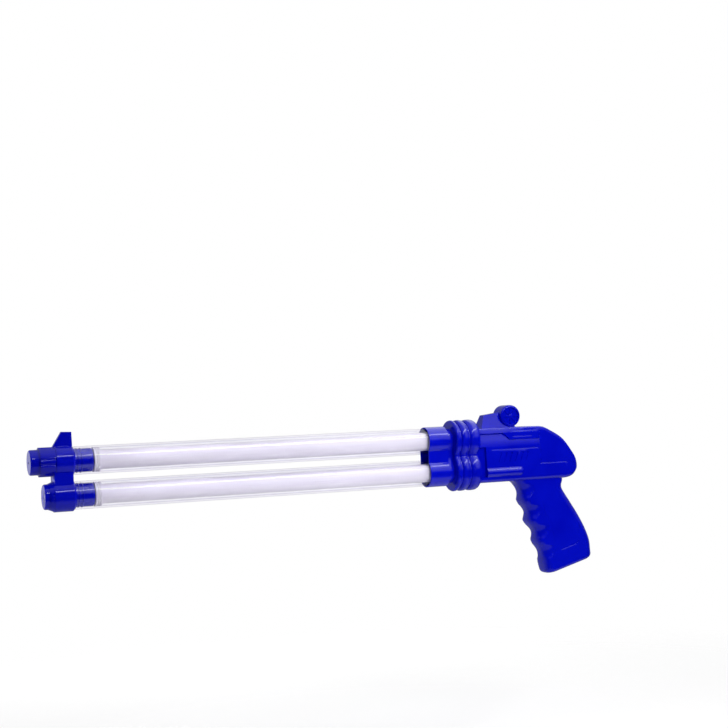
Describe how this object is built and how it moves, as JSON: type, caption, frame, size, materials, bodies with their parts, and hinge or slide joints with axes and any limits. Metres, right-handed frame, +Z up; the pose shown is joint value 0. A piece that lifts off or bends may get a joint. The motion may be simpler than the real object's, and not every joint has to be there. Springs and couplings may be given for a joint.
{
  "type": "water squirter",
  "caption": "Double-barrel hand pump water squirter with a pistol grip handle, clear sliding tubes on hollow piston rods, and a nozzle yoke at the front.",
  "frame": {"origin": "middle of the hand on the pistol grip, on the parting plane of the handle", "axes": "+X forward along the barrels to the nozzles, +Y to the holder's left, +Z up"},
  "size_m": [0.5539, 0.0386, 0.1681],
  "materials": {
    "blue_shell": "glossy injection moulded polypropylene, deep blue",
    "white_rod": "smooth white extruded plastic",
    "clear_tube": "clear extruded plastic",
    "pale_rubber": "pale moulded rubber",
    "screw_steel": "zinc plated steel"
  },
  "bodies": {
    "handle": {"left_shell": "blue_shell", "right_shell": "blue_shell", "shell_screws": "screw_steel", "upper_rod": "white_rod", "lower_rod": "white_rod", "upper_rod_plug": "white_rod", "lower_rod_plug": "white_rod", "upper_piston": "white_rod", "lower_piston": "white_rod", "upper_seal": "pale_rubber", "lower_seal": "pale_rubber"},
    "barrels": {"nozzle_yoke": "blue_shell", "upper_tube": "clear_tube", "lower_tube": "clear_tube", "tube_collar": "blue_shell"}
  },
  "joints": [
    {"name": "barrel_slide", "type": "slide", "parent": "handle", "child": "barrels", "axis": [1, 0, 0], "range_m": [0, 0.333]}
  ]
}
